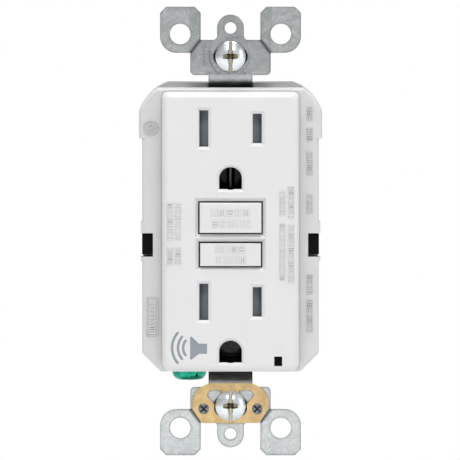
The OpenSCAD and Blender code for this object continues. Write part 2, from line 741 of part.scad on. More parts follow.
// Terminal screw and pressure plate for the side x > 0.
module terminal_screw(z) {
    difference() {
        rod_x(term_y, z, 3.9, plate_x + 1 + gap, plate_x + 3.6);
        translate([plate_x + 3.6, term_y, z]) rotate([0, 0, 90]) cross_slot(4, 1.8);
    }
    rod_x(term_y, z, term_r, 10.6, plate_x + 1.5);
}
module terminal_clamp(z) difference() {
    block([clamp_x, clamp_x + 1.5], [9.2, 16.6], [z - 3.8, z + 3.8]);
    rod_x(term_y, z, term_r + 0.03, 10, 15);
    // serrations that bite the wire
    for (s = [-1, 1]) for (y = [10.4, 12.9, 15.4])
        block([clamp_x + 1.3, clamp_x + 2], [y - 0.25, y + 0.25], [z + s * 3.2 - 0.8, z + s * 3.2 + 0.8]);
}
module line_hot_screw() color("goldenrod") terminal_screw(-term_z);
module load_hot_screw() color("goldenrod") terminal_screw(term_z);
module line_neutral_screw() color("silver") mirror([1, 0, 0]) terminal_screw(-term_z);
module load_neutral_screw() color("silver") mirror([1, 0, 0]) terminal_screw(term_z);
module line_hot_clamp() color("goldenrod") terminal_clamp(-term_z);
module load_hot_clamp() color("goldenrod") terminal_clamp(term_z);
module line_neutral_clamp() color("silver") mirror([1, 0, 0]) terminal_clamp(-term_z);
module load_neutral_clamp() color("silver") mirror([1, 0, 0]) terminal_clamp(term_z);

module ground_screw() color("seagreen") {
    intersection() {
        translate([green_x, green_y, green_low])
            cylinder(d = green_af / cos(30), h = green_seat - green_low, $fn = 6);
        // chamfer at the corners of the hexagon
        translate([green_x, green_y, green_low]) cylinder(r1 = 2.6, r2 = 5.7, h = green_seat - green_low);
    }
    rod_z(green_x, green_y, term_r, -32.6, -28.6);
}

front_cover();
rear_housing();
separator();
mounting_strap();
grounding_clip();
clip_rivets();
ground_contacts();
housing_screws();
hot_load_bus();
neutral_load_bus();
fixed_contact_points();
line_hot_conductor();
line_neutral_conductor();
circuit_board();
sense_coil();
grounded_neutral_coil();
transformer_case();
solenoid_bobbin();
solenoid_winding();
solenoid_frame();
surge_suppressor();
controller_chip();
board_components();
buzzer();
status_led();
light_pipe();
test_post();
shutter_trays();
reset_button();
reset_pin();
reset_spring();
lifter();
latch_plate();
latch_spring();
plunger();
plunger_spring();
hot_contact_arm();
neutral_contact_arm();
test_button();
test_blade();
upper_hot_shutter();
upper_neutral_shutter();
lower_hot_shutter();
lower_neutral_shutter();
upper_shutter_spring();
lower_shutter_spring();
mounting_screw_upper();
mounting_screw_lower();
screw_retainer_upper();
screw_retainer_lower();
line_hot_screw();
line_neutral_screw();
load_hot_screw();
load_neutral_screw();
line_hot_clamp();
line_neutral_clamp();
load_hot_clamp();
load_neutral_clamp();
ground_screw();
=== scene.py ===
"""Ground-fault duplex outlet: materials, fine meshes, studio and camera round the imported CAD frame."""
import json
import math

import bmesh
import bpy
from mathutils import Matrix, Vector


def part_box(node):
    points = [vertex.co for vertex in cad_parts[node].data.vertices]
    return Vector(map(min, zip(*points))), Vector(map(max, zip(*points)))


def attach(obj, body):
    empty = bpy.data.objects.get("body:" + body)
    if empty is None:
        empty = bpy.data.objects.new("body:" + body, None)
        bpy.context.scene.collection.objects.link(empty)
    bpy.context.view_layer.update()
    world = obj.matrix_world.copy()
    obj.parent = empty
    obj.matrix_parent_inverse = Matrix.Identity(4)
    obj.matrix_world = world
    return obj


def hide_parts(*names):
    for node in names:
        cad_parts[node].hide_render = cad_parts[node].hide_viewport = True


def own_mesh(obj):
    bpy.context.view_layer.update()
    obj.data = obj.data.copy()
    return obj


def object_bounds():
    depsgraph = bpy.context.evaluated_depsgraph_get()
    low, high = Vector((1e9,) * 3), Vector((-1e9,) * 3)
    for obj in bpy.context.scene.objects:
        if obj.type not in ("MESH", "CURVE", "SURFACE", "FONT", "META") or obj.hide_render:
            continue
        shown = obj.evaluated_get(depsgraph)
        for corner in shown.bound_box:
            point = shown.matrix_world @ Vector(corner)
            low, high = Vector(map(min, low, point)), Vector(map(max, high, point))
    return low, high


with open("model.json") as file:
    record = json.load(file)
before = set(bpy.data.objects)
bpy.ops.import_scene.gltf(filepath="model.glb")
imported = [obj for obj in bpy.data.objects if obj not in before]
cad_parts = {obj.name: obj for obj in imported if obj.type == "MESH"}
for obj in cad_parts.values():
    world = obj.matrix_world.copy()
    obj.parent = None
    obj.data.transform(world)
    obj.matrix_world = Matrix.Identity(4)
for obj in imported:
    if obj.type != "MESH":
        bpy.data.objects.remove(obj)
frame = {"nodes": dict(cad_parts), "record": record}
cad_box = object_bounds()

MM = 0.001
NODES = frame["nodes"]

# Places in millimetres: X to the right, Y to the back and Z up from the middle of the strap's front.
FACE_FRONT = -8.2
SHOULDER_FRONT = -1.5
YOKE_FRONT = -1.2
CLIP_FRONT = YOKE_FRONT - 0.45
HEAD_BASE = YOKE_FRONT - 0.46
BOX_SCREW_Z = 41.67
STAKE_X, STAKE_Z = 6.4, -42.4
RESET_Z, RESET_PROUD = 3.36, 0.8
TEST_Z, TEST_PROUD = -5.4, 0.4
TERMINAL_X, TERMINAL_Y, TERMINAL_Z = 16.65, 12.9, 16.0
COIL_Y = 17.0
SENSE_Z = -19.5
UNC_6_PITCH = 0.794


# ---------------------------------------------------------------- materials
class Graph:
    """Short calls for building one material's node tree."""

    def __init__(self, name):
        self.mat = bpy.data.materials.new(name)
        self.mat.use_nodes = True
        self.tree = self.mat.node_tree
        self.tree.nodes.clear()
        self.out = self.add("ShaderNodeOutputMaterial")
        self.bsdf = self.add("ShaderNodeBsdfPrincipled")
        self.link(self.bsdf, "BSDF", self.out, "Surface")
        coords = self.add("ShaderNodeTexCoord")
        self.coords = self.mapping(coords.outputs["Object"], (1000, 1000, 1000))

    def add(self, kind, **values):
        """New node with its properties set."""
        node = self.tree.nodes.new(kind)
        for key, value in values.items():
            setattr(node, key, value)
        return node

    def link(self, a, a_name, b, b_name):
        self.tree.links.new(a.outputs[a_name], b.inputs[b_name])

    def mapping(self, source, scale):
        node = self.add("ShaderNodeMapping")
        node.inputs["Scale"].default_value = scale
        self.tree.links.new(source, node.inputs["Vector"])
        return node.outputs["Vector"]

    def stretched(self, scale):
        return self.mapping(self.coords, scale)

    def place(self, axis):
        """Coordinate along one axis in millimetres."""
        split = self.add("ShaderNodeSeparateXYZ")
        self.tree.links.new(self.coords, split.inputs[0])
        return split.outputs[axis]

    def noise(self, size_mm, detail=3.0, vector=None, roughness=0.55):
        node = self.add("ShaderNodeTexNoise")
        node.inputs["Scale"].default_value = 1.0 / size_mm
        node.inputs["Detail"].default_value = detail
        node.inputs["Roughness"].default_value = roughness
        self.tree.links.new(vector or self.coords, node.inputs["Vector"])
        return node.outputs["Fac"]

    def cells(self, size_mm, feature="F1", out="Color"):
        node = self.add("ShaderNodeTexVoronoi", feature=feature)
        node.inputs["Scale"].default_value = 1.0 / size_mm
        self.tree.links.new(self.coords, node.inputs["Vector"])
        return node.outputs[out]

    def ramp(self, source, low, high, start=0.3, end=0.7):
        """Straight-line change from low at start to high at end, held beyond both."""
        node = self.add("ShaderNodeMapRange")
        node.inputs["From Min"].default_value = start
        node.inputs["From Max"].default_value = end
        node.inputs["To Min"].default_value = low
        node.inputs["To Max"].default_value = high
        self.tree.links.new(source, node.inputs["Value"])
        return node.outputs["Result"]

    def mix(self, factor, a, b, blend="MIX"):
        node = self.add("ShaderNodeMix", data_type="RGBA", blend_type=blend)
        for socket, value in ((node.inputs[0], factor), (node.inputs[6], a), (node.inputs[7], b)):
            if hasattr(value, "is_linked"):
                self.tree.links.new(value, socket)
            elif isinstance(value, (int, float)):
                socket.default_value = value
            else:
                socket.default_value = (*value, 1.0)
        return node.outputs[2]

    def add_values(self, a, b, operation="ADD"):
        node = self.add("ShaderNodeMath", operation=operation)
        for socket, value in zip(node.inputs, (a, b)):
            if hasattr(value, "is_linked"):
                self.tree.links.new(value, socket)
            else:
                socket.default_value = value
        return node.outputs[0]

    def bump(self, height, depth_mm, normal=None):
        node = self.add("ShaderNodeBump")
        node.inputs["Strength"].default_value = 1.0
        node.inputs["Distance"].default_value = depth_mm * MM
        self.tree.links.new(height, node.inputs["Height"])
        if normal is not None:
            self.tree.links.new(normal, node.inputs["Normal"])
        return node.outputs["Normal"]

    def edges(self, radius_mm=0.3):
        """1 on sharp outer edges and 0 on flats: how far the rounded normal is from the true one."""
        bevel = self.add("ShaderNodeBevel", samples=4)
        bevel.inputs["Radius"].default_value = radius_mm * MM
        true_normal = self.add("ShaderNodeNewGeometry")
        dot = self.add("ShaderNodeVectorMath", operation="DOT_PRODUCT")
        self.tree.links.new(bevel.outputs["Normal"], dot.inputs[0])
        self.tree.links.new(true_normal.outputs["Normal"], dot.inputs[1])
        return self.ramp(dot.outputs["Value"], 1.0, 0.0, 0.75, 0.99)

    def crevices(self, reach_mm, low=0.0, start=0.2, end=0.85):
        """1 in the open and low in narrow gaps and inner corners, where little light gets in."""
        shut = self.add("ShaderNodeAmbientOcclusion", samples=6)
        shut.inputs["Distance"].default_value = reach_mm * MM
        return self.ramp(shut.outputs["AO"], low, 1.0, start, end)

    def depth(self, front_mm, back_mm, low):
        """1 at the front plane, falling to low at the back one."""
        return self.ramp(self.place("Y"), 1.0, low, front_mm, back_mm)

    def within(self, axis, half_mm):
        """1 nearer than half_mm to the middle plane across an axis, and 0 beyond."""
        away = self.add("ShaderNodeMath", operation="ABSOLUTE")
        self.tree.links.new(self.place(axis), away.inputs[0])
        return self.ramp(away.outputs[0], 1.0, 0.0, half_mm, half_mm + 0.5)

    def unlit_inside(self):
        """Dim behind the raised face, where light comes in only through the openings."""
        under_face = self.add_values(self.within("X", 15), self.within("Z", 32), "MULTIPLY")
        behind = self.depth(-6.4, -7.4, 0.0)
        return self.ramp(self.add_values(under_face, behind, "MULTIPLY"), 1.0, 0.15)

    def dimmed(self, colour, factor):
        """The colour multiplied by a value."""
        grey = self.add("ShaderNodeCombineColor")
        for i in range(3):
            self.tree.links.new(factor, grey.inputs[i])
        return self.mix(1.0, colour, grey.outputs[0], "MULTIPLY")

    def set(self, colour=None, roughness=None, normal=None, **values):
        """Feeds the shader with values or sockets, and gives the finished material back."""
        for key, value in (("Base Color", colour), ("Roughness", roughness), ("Normal", normal)):
            if value is None:
                continue
            if hasattr(value, "is_linked"):
                self.tree.links.new(value, self.bsdf.inputs[key])
            elif key == "Base Color":
                self.bsdf.inputs[key].default_value = (*value, 1.0)
            else:
                self.bsdf.inputs[key].default_value = value
        for key, value in values.items():
            socket = self.bsdf.inputs[key.replace("_", " ")]
            if hasattr(value, "is_linked"):
                self.tree.links.new(value, socket)
            else:
                socket.default_value = value
        return self.mat


def shade(colour, factor):
    """The colour made lighter or darker."""
    return tuple(min(1.0, c * factor) for c in colour)


def moulded_plastic(name, colour, roughness=0.35, grain_mm=0.12, grain_depth=0.004, mottling=0.04,
                    crevice_shade_mm=0.0, recess=None, **values):
    """Injection-moulded plastic: faint flow clouds, fine spark-eroded grain and edges rubbed smoother.

    The crevice width sets how wide a gap still gets painted shade, and the recess planes paint shade that dims
    what lies behind the front face."""
    g = Graph(name)
    clouds = g.noise(9.0, 3.0)
    tint = g.mix(g.ramp(clouds, 0, 1), shade(colour, 1 - mottling), shade(colour, 1 + mottling))
    worn = g.edges(0.25)
    tint = g.mix(g.add_values(worn, 0.25, "MULTIPLY"), tint, shade(colour, 1.12))
    streaks = g.noise(0.9, 2.0, g.stretched((1.0, 1.0, 0.12)))
    rough = g.ramp(streaks, roughness - 0.05, roughness + 0.06)
    rough = g.add_values(rough, g.add_values(worn, -0.08, "MULTIPLY"))
    normal = g.bump(g.noise(grain_mm, 2.0), grain_depth)
    normal = g.bump(g.noise(6.0, 1.0), 0.02, normal)
    if crevice_shade_mm:
        # Painted shade: darker in narrow gaps and inner corners.
        tint = g.dimmed(tint, g.crevices(crevice_shade_mm))
    if recess:
        # Painted shade: dimmer towards the back of the shoulders, and dimmer still behind the raised face.
        tint = g.dimmed(tint, g.depth(*recess))
        tint = g.dimmed(tint, g.unlit_inside())
    return g.set(tint, rough, normal, **values)


def sheet_steel(name, colour, roughness=0.4, spangle=0.1, painted_top_shade=1.0):
    """Zinc-coated sheet: spangle grains, pitting and fine rolling scratches, with painted shade along its edges
    and in its gaps.

    The top-shade factor is painted shade that dims the strap towards its top, and the upper plate is darker
    still."""
    g = Graph(name)
    grains = g.add("ShaderNodeSeparateColor")
    g.tree.links.new(g.cells(0.9), grains.inputs["Color"])
    grain = grains.outputs[0]
    fine = g.noise(0.22, 4.0, roughness=0.75)
    tint = g.mix(g.ramp(grain, 0, 1, 0, 1), shade(colour, 1 - spangle), shade(colour, 1 + spangle))
    tint = g.mix(g.ramp(fine, 0, 1, 0.38, 0.6), shade(colour, 0.72), tint)
    # Painted shade: darker towards the top of the strap, lighter at its bottom.
    tint = g.dimmed(tint, g.ramp(g.place("Z"), 1.0, painted_top_shade, -45, 45))
    # Painted shade: darker in narrow gaps, and in wider hollows such as the necks under the cover's edges.
    tint = g.dimmed(tint, g.crevices(0.7, 0.1))
    tint = g.dimmed(tint, g.crevices(4.0, 0.65, 0.3, 0.62))
    # Darker over the upper plate, above the neck.
    upper_plate = g.add_values(g.within("X", 9.6), g.ramp(g.place("Z"), 0, 1, 37.9, 38.1), "MULTIPLY")
    tint = g.dimmed(tint, g.ramp(upper_plate, 1.0, 0.86))
    # Painted shade: dark along the edges, where the sheet's cut faces look away from the light.
    edge_shade = g.edges(0.9)
    tint = g.mix(edge_shade, tint, shade(colour, 0.28))
    scratches = g.noise(0.07, 3.0, g.stretched((1.0, 1.0, 0.04)))
    rough = g.ramp(g.add_values(scratches, grain), roughness - 0.08, roughness + 0.12, 0.4, 1.4)
    normal = g.bump(fine, 0.012)
    normal = g.bump(scratches, 0.004, normal)
    return g.set(tint, rough, normal, Metallic=0.9)


def brushed_metal(name, colour, roughness=0.3, stain=None, direction=(1.0, 1.0, 0.05), depth=0.004):
    """Rolled or drawn metal with fine lines one way, patches of tarnish and rubbed edges."""
    g = Graph(name)
    lines = g.noise(0.06, 3.0, g.stretched(direction))
    patches = g.noise(2.5, 4.0)
    tint = g.mix(g.ramp(patches, 0, 1, 0.35, 0.7), colour, stain or shade(colour, 0.82))
    tint = g.mix(g.ramp(lines, 0, 0.35), tint, shade(colour, 1.15))
    worn = g.edges(0.15)
    tint = g.mix(g.add_values(worn, 0.5, "MULTIPLY"), tint, shade(colour, 1.25))
    rough = g.ramp(g.add_values(lines, patches), roughness - 0.07, roughness + 0.12, 0.6, 1.4)
    return g.set(tint, rough, g.bump(lines, depth), Metallic=1.0)


def plated_screw(name, colour, film, roughness=0.2):
    """Bright zinc with a thin chromate film that shifts blue to yellow, and burrs from the heading die."""
    g = Graph(name)
    blotch = g.noise(1.3, 2.0)
    tint = g.mix(g.ramp(blotch, 0, 1, 0.4, 0.62), colour, film)
    fine = g.noise(0.25, 4.0)
    tint = g.mix(g.ramp(fine, 0, 0.3), tint, shade(colour, 0.75))
    worn = g.edges(0.15)
    tint = g.mix(g.add_values(worn, 0.6, "MULTIPLY"), tint, shade(colour, 1.2))
    rough = g.ramp(fine, roughness - 0.05, roughness + 0.12)
    return g.set(tint, rough, g.bump(fine, 0.008), Metallic=1.0)


def wound_wire(name, colour, roughness=0.28):
    """Enamelled copper wire."""
    g = Graph(name)
    patches = g.noise(1.2, 3.0)
    tint = g.mix(g.ramp(patches, 0, 1), shade(colour, 0.75), shade(colour, 1.25))
    return g.set(tint, g.ramp(patches, roughness - 0.08, roughness + 0.1), g.bump(g.noise(0.2), 0.005),
                 Metallic=0.75, Coat_Weight=0.6, Coat_Roughness=0.1)


def board_mask(name, mask, track):
    """Green solder mask over etched tracks: the tracks stand out a little in colour and height."""
    g = Graph(name)
    bricks = g.add("ShaderNodeTexBrick", offset=0.35)
    bricks.inputs["Scale"].default_value = 0.22
    bricks.inputs["Mortar Size"].default_value = 0.09
    flat = g.add("ShaderNodeCombineXYZ")
    g.tree.links.new(g.place("X"), flat.inputs[0])
    g.tree.links.new(g.place("Z"), flat.inputs[1])
    g.tree.links.new(flat.outputs[0], bricks.inputs["Vector"])
    tracks = bricks.outputs["Fac"]
    tint = g.mix(tracks, mask, track)
    normal = g.bump(tracks, 0.05, g.bump(g.noise(0.3), 0.004))
    return g.set(tint, g.ramp(g.noise(1.5), 0.25, 0.4), normal, Coat_Weight=0.5)


WHITE = (0.74, 0.74, 0.743)
GREY = (0.44, 0.44, 0.445)
STEEL = (0.81, 0.845, 0.85)
ZINC = (0.93, 0.95, 0.95)
BRASS = (0.86, 0.63, 0.32)
NICKEL = (0.66, 0.64, 0.60)
GREEN = (0.02, 0.36, 0.22)

MATERIALS = {
    "white_plastic": moulded_plastic("white_plastic", WHITE, 0.36, mottling=0.012, grain_depth=0.0025,
                                     crevice_shade_mm=0.45, recess=(-3.2, -1.8, 0.9)),
    "grey_plastic": moulded_plastic("grey_plastic", GREY, 0.5, 0.2, 0.01),
    "black_plastic": moulded_plastic("black_plastic", (0.006, 0.006, 0.007), 0.6, 0.15, 0.008, 0.2,
                                     Specular_IOR_Level=0.04),
    "galvanised_steel": sheet_steel("galvanised_steel", STEEL, spangle=0.13, painted_top_shade=0.69),
    "brass": brushed_metal("brass", BRASS, 0.36, (0.60, 0.42, 0.2)),
    "nickel_brass": brushed_metal("nickel_brass", NICKEL, 0.32),
    "dark_steel": brushed_metal("dark_steel", (0.25, 0.26, 0.28), 0.35, depth=0.02),
    "bright_zinc": plated_screw("bright_zinc", ZINC, (0.80, 0.88, 0.94), 0.24),
    "spring_steel": brushed_metal("spring_steel", (0.55, 0.55, 0.56), 0.3),
    "silver_contact": brushed_metal("silver_contact", (0.85, 0.84, 0.8), 0.25),
    "circuit_green": board_mask("circuit_green", (0.01, 0.09, 0.03), (0.03, 0.2, 0.07)),
    "copper": wound_wire("copper", (0.62, 0.24, 0.09)),
    "natural_nylon": moulded_plastic("natural_nylon", (0.62, 0.6, 0.52), 0.45),
    "red_coating": moulded_plastic("red_coating", (0.4, 0.03, 0.02), 0.25, Coat_Weight=0.5),
    "blue_coating": moulded_plastic("blue_coating", (0.03, 0.07, 0.3), 0.3, Coat_Weight=0.4),
    "lamp": moulded_plastic("lamp", (0.1, 0.5, 0.12), 0.12, Transmission_Weight=0.6),
    "shutter_blue": moulded_plastic("shutter_blue", (0.16, 0.18, 0.21), 0.45),
    "fibre": moulded_plastic("fibre", (0.03, 0.028, 0.026), 0.7, 0.3, 0.02, 0.15),
    "green_zinc": plated_screw("green_zinc", GREEN, (0.05, 0.5, 0.36), 0.16),
    # Painted shade inside the screw heads' recesses: a darker, yellower zinc, and a near-black painted shadow
    # for the deepest faces.
    "recess_shade_zinc": plated_screw("recess_shade_zinc", (0.74, 0.68, 0.48), (0.6, 0.6, 0.56), 0.22),
    "recess_shadow_zinc": plated_screw("recess_shadow_zinc", (0.12, 0.11, 0.09), (0.2, 0.18, 0.12), 0.35),
    "sign_ink": moulded_plastic("sign_ink", (0.27, 0.3, 0.335), 0.55, 0.08, 0.004, 0.06),
}


# ---------------------------------------------------------------- CAD nodes
def soften(obj, width_mm, segments=2, merge_flats=True):
    """Rounds a CAD node's sharp edges a little and smooths its shading, as modifiers."""
    weld = obj.modifiers.new("weld", "WELD")
    weld.merge_threshold = 0.002 * MM
    if merge_flats:
        flat = obj.modifiers.new("flat", "DECIMATE")
        flat.decimate_type = "DISSOLVE"
        flat.angle_limit = math.radians(0.4)
    bevel = obj.modifiers.new("bevel", "BEVEL")
    bevel.width = width_mm * MM
    bevel.segments = segments
    bevel.limit_method = "ANGLE"
    bevel.angle_limit = math.radians(32)
    bevel.use_clamp_overlap = True
    bevel.harden_normals = False
    weighted = obj.modifiers.new("normals", "WEIGHTED_NORMAL")
    weighted.keep_sharp = True


def dress_nodes():
    """Each CAD node gets the material of its record slot."""
    for part in frame["record"]["subparts"]:
        obj = NODES[part["node"]]
        obj.data.materials.clear()
        obj.data.materials.append(MATERIALS[part["material_slot"]])


dress_nodes()
for name in ("front_cover", "rear_housing", "separator", "reset_button", "test_button"):
    soften(NODES[name], 0.12)
for name in ("grounding_clip", "light_pipe"):
    soften(NODES[name], 0.06)
soften(NODES["mounting_strap"], 0.13, 2, False)


# ---------------------------------------------------------------- mesh helpers
def make_object(name, verts, faces, material, body, slot=None, smooth=True, bevel_mm=0.0):
    """Object from points in millimetres, riding on a body."""
    return place_object(name, mesh_from(verts, faces, name, True), material, body, smooth, bevel_mm)


def place_object(name, mesh, material, body, smooth=True, bevel_mm=0.0):
    """Object from a finished mesh, with its material, riding on a body."""
    if smooth:
        mesh.shade_smooth()
        mesh.set_sharp_from_angle(angle=math.radians(35))
    mesh.materials.clear()
    mesh.materials.append(MATERIALS[material])
    obj = bpy.data.objects.new(name, mesh)
    bpy.context.scene.collection.objects.link(obj)
    if bevel_mm:
        bevel = obj.modifiers.new("bevel", "BEVEL")
        bevel.width = bevel_mm * MM
        bevel.segments = 2
        bevel.limit_method = "ANGLE"
        bevel.angle_limit = math.radians(30)
        weighted = obj.modifiers.new("normals", "WEIGHTED_NORMAL")
        weighted.keep_sharp = True
    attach(obj, body)
    return obj


def rings_mesh(rings, close_ends=True):
    """Points and faces of a skin over closed rings that all have the same number of points."""
    count = len(rings[0])
    verts = [p for ring in rings for p in ring]
    faces = []
    for i in range(len(rings) - 1):
        for j in range(count):
            k = (j + 1) % count
            faces.append((i * count + j, (i + 1) * count + j, (i + 1) * count + k, i * count + k))
    if close_ends:
        last = (len(rings) - 1) * count
        faces.append(tuple(range(count)))
        faces.append(tuple(last + j for j in reversed(range(count))))
    return verts, faces


def tube_mesh(path, radius, sides=8):
    """Round wire along a path of points."""
    points = [Vector(p) for p in path]
    rings, side = [], None
    for i, p in enumerate(points):
        along = (points[min(i + 1, len(points) - 1)] - points[max(i - 1, 0)]).normalized()
        if side is None:
            side = along.orthogonal().normalized()
        side = (side - along * side.dot(along)).normalized()
        other = along.cross(side)
        rings.append([p + (side * math.cos(a) + other * math.sin(a)) * radius
                      for a in (2 * math.pi * j / sides for j in range(sides))])
    return rings_mesh(rings)


def lathe_rings(profile, sides):
    """Rings round the Z axis from (radius, height) pairs."""
    return [[(r * math.cos(a), r * math.sin(a), h) for a in (2 * math.pi * j / sides for j in range(sides))]
            for r, h in profile]


def thread_rings(r_out, depth, pitch, start, end, sides=32):
    """Rings along Z whose radius follows a right-handed thread, fading out at both ends."""
    steps = int((end - start) / pitch * 8)
    rings = []
    for i in range(steps + 1):
        h = start + (end - start) * i / steps
        fade = min(1.0, (h - start) / pitch, (end - h) / pitch)
        ring = []
        for j in range(sides):
            a = 2 * math.pi * j / sides
            phase = (h / pitch - j / sides) % 1.0
            low = min(1.0, max(0.0, abs(phase - 0.5) * 3.2 - 0.35))
            r = r_out - depth * (1 - (1 - low) * max(0.0, fade))
            ring.append((r * math.cos(a), r * math.sin(a), h))
        rings.append(ring)
    return rings


def mesh_from(verts, faces, name="part", weld=False):
    """Mesh from points in millimetres, with its faces looking outwards."""
    mesh = bpy.data.meshes.new(name)
    mesh.from_pydata([Vector(v) * MM for v in verts], [], faces)
    bm = bmesh.new()
    bm.from_mesh(mesh)
    if weld:
        bmesh.ops.remove_doubles(bm, verts=bm.verts, dist=1e-7)
    bmesh.ops.recalc_face_normals(bm, faces=bm.faces)
    bm.to_mesh(mesh)
    bm.free()
    return mesh


def joined(meshes):
    """One mesh that holds several."""
    bm = bmesh.new()
    for mesh in meshes:
        bm.from_mesh(mesh)
    out = bpy.data.meshes.new("joined")
    bm.to_mesh(out)
    bm.free()
    return out


def carve(base, cutters):
    """The base mesh with each cutter mesh taken out of it."""
    collection = bpy.context.scene.collection
    obj = bpy.data.objects.new("base", base)
    collection.objects.link(obj)
    made = [obj]
    for i, cutter in enumerate(cutters):
        tool = bpy.data.objects.new(f"cutter_{i}", cutter)
        collection.objects.link(tool)
        made.append(tool)
        cut = obj.modifiers.new(f"cut_{i}", "BOOLEAN")
        cut.operation = "DIFFERENCE"
        cut.solver = "EXACT"
        cut.object = tool
    graph = bpy.context.evaluated_depsgraph_get()
    result = bpy.data.meshes.new_from_object(obj.evaluated_get(graph))
    for item in made:
        bpy.data.objects.remove(item)
    return result


def cross_outline(span, width, notch=0.0):
    """Twelve corners of a plus sign. notch moves its inner corners out."""
    s, w = span / 2, width / 2
    n = w + notch
    quarter = [(s, -w), (s, w), (n, n)]
    points = list(quarter)
    for turn in range(1, 4):
        c, d = (round(math.cos(turn * math.pi / 2)), round(math.sin(turn * math.pi / 2)))
        points += [(x * c - y * d, x * d + y * c) for x, y in quarter]
    return points


def cross_cutter(top, span, width, depth):
    """Phillips recess: a plus sign that narrows to a blunt point, cut down from height top."""
    levels = [(top + 0.6, 1.12, 1.06), (top, 1.0, 1.0), (top - depth * 0.55, 0.62, 0.8),
              (top - depth * 0.85, 0.34, 0.62), (top - depth, 0.14, 0.3)]
    rings = [[(x, y, h) for x, y in cross_outline(span * s, width * w, 0.16 * s)] for h, s, w in levels]
    return mesh_from(*rings_mesh(rings))


def slot_cutter(top, length, width, depth):
    """Straight slot with a slightly round bottom, along Y."""
    half = width / 2
    profile = [(half, top + 0.6), (half, top - depth * 0.8), (half * 0.6, top - depth),
               (-half * 0.6, top - depth), (-half, top - depth * 0.8), (-half, top + 0.6)]
    rings = [[(x, y, h) for x, h in profile] for y in (-length / 2, length / 2)]
    return mesh_from(*rings_mesh(rings))


def screw_mesh(head_profile, shank_r, length, pitch, recess, sides=64):
    """Screw standing on Z: the head's underside is at 0, the head above it and the thread below it."""
    head = carve(mesh_from(*rings_mesh(lathe_rings(head_profile, sides))), recess)
    shank = mesh_from(*rings_mesh(thread_rings(shank_r, pitch * 0.5, pitch, -length, 0.1)))
    cone = [(shank_r * 0.72, -length + 0.02), (shank_r * 0.62, -length - 0.35)]
    point = mesh_from(*rings_mesh(lathe_rings(cone, 32)))
    return joined([head, shank, point])


def dome_profile(r, sphere_r, pole, base, steps=14):
    """Head profile from the underside edge, over a spherical dome to a small flat at the pole."""
    centre = pole - sphere_r
    edge = centre + math.sqrt(sphere_r ** 2 - r ** 2)
    points = [(r * 0.55, base), (r - 0.12, base), (r, base + 0.12), (r, edge - 0.05)]
    start = math.asin(r / sphere_r)
    for i in range(steps + 1):
        a = start * (1 - i / steps)
        points.append((max(0.02, sphere_r * math.sin(a)), centre + sphere_r * math.cos(a)))
    return points


def turned(mesh, axis_to, place):
    """Turns a mesh standing on Z so that its top looks along axis_to, and moves it to place (mm)."""
    turn = Vector(axis_to).to_track_quat("Z", "Y").to_matrix().to_4x4()
    mesh.transform(Matrix.Translation(Vector(place) * MM) @ turn)
    return mesh


# ---------------------------------------------------------------- fasteners
def shade_recess_faces(mesh, place, axis, sphere_r, pole, head_r):
    """Faces that lie below the dome get painted shade as a darker zinc, and the deepest ones get a near-black
    painted shadow.
    """
    mesh.materials.append(MATERIALS["recess_shade_zinc"])
    mesh.materials.append(MATERIALS["recess_shadow_zinc"])
    for face in mesh.polygons:
        rel = face.center / MM - Vector(place)
        along = rel.dot(Vector(axis))
        out = (rel - Vector(axis) * along).length
        if along < 0.1 or out > head_r - 0.06:
            continue
        depth = pole - sphere_r + math.sqrt(sphere_r ** 2 - out ** 2) - along
        if depth > 0.1:
            face.material_index = 2 if out < 0.75 or depth > 1.55 else 1


def box_screw(name, node, body, sign):
    """Oval-headed machine screw with a cross and a slot, through the strap's ear."""
    head_r, sphere_r, pole = 3.6, 4.9, 2.15
    place = (0, HEAD_BASE, sign * BOX_SCREW_Z)
    recess = [slot_cutter(pole, 7.6, 0.92, 1.72), cross_cutter(pole, 4.1, 1.0, 2.0)]
    mesh = screw_mesh(dome_profile(head_r, sphere_r, pole, 0), 1.75, 22.4, UNC_6_PITCH, recess)
    mesh = turned(mesh, (0, -1, 0), place)
    obj = place_object(name, mesh, "bright_zinc", body, bevel_mm=0.035)
    shade_recess_faces(mesh, place, (0, -1, 0), sphere_r, pole, head_r)
    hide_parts(node)


def terminal_screw(name, material, side, z):
    """Low-headed screw that looks out of the side of the body."""
    head_r, sphere_r, pole = 3.9, 12, 2.55
    recess = [slot_cutter(pole, 8.4, 0.9, 1.35), cross_cutter(pole, 4.0, 1.0, 1.7)]
    mesh = screw_mesh(dome_profile(head_r, sphere_r, pole, 0, 6), 2.0, 6.0, UNC_6_PITCH, recess)
    mesh = turned(mesh, (side, 0, 0), (side * TERMINAL_X, TERMINAL_Y, z))
    obj = place_object(name, mesh, material, name, bevel_mm=0.04)
    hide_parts(name)


def housing_screws():
    """Four long screws, sunk into the back of the body."""
    head_r, sphere_r, pole = 2.4, 4.6, 1.75
    seat_y = 22.62
    meshes = []
    for x, z in ((17.2, 28.5), (-17.2, 28.5), (16.8, -27), (-16.8, -27)):
        recess = [cross_cutter(pole, 2.9, 0.75, 1.35)]
        mesh = screw_mesh(dome_profile(head_r, sphere_r, pole, 0, 6), 1.25, 23.2, 1.2, recess, 40)
        meshes.append(turned(mesh, (0, 1, 0), (x, seat_y, z)))
    obj = place_object("housing_screw_set", joined(meshes), "bright_zinc", "housing")
    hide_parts("housing_screws")


def hexagon_rings(across_flats, profile, turn=0.0, sides=72):
    """Rings of a hexagon cut to a largest radius: profile holds (radius limit, height)."""
    rings = []
    for limit, h in profile:
        ring = []
        for j in range(sides):
            a = 2 * math.pi * j / sides
            flat = (a + math.pi / 6) % (math.pi / 3) - math.pi / 6
            r = min(across_flats / 2 / math.cos(flat), limit)
            ring.append((r * math.cos(a + turn), r * math.sin(a + turn), h))
        rings.append(ring)
    return rings


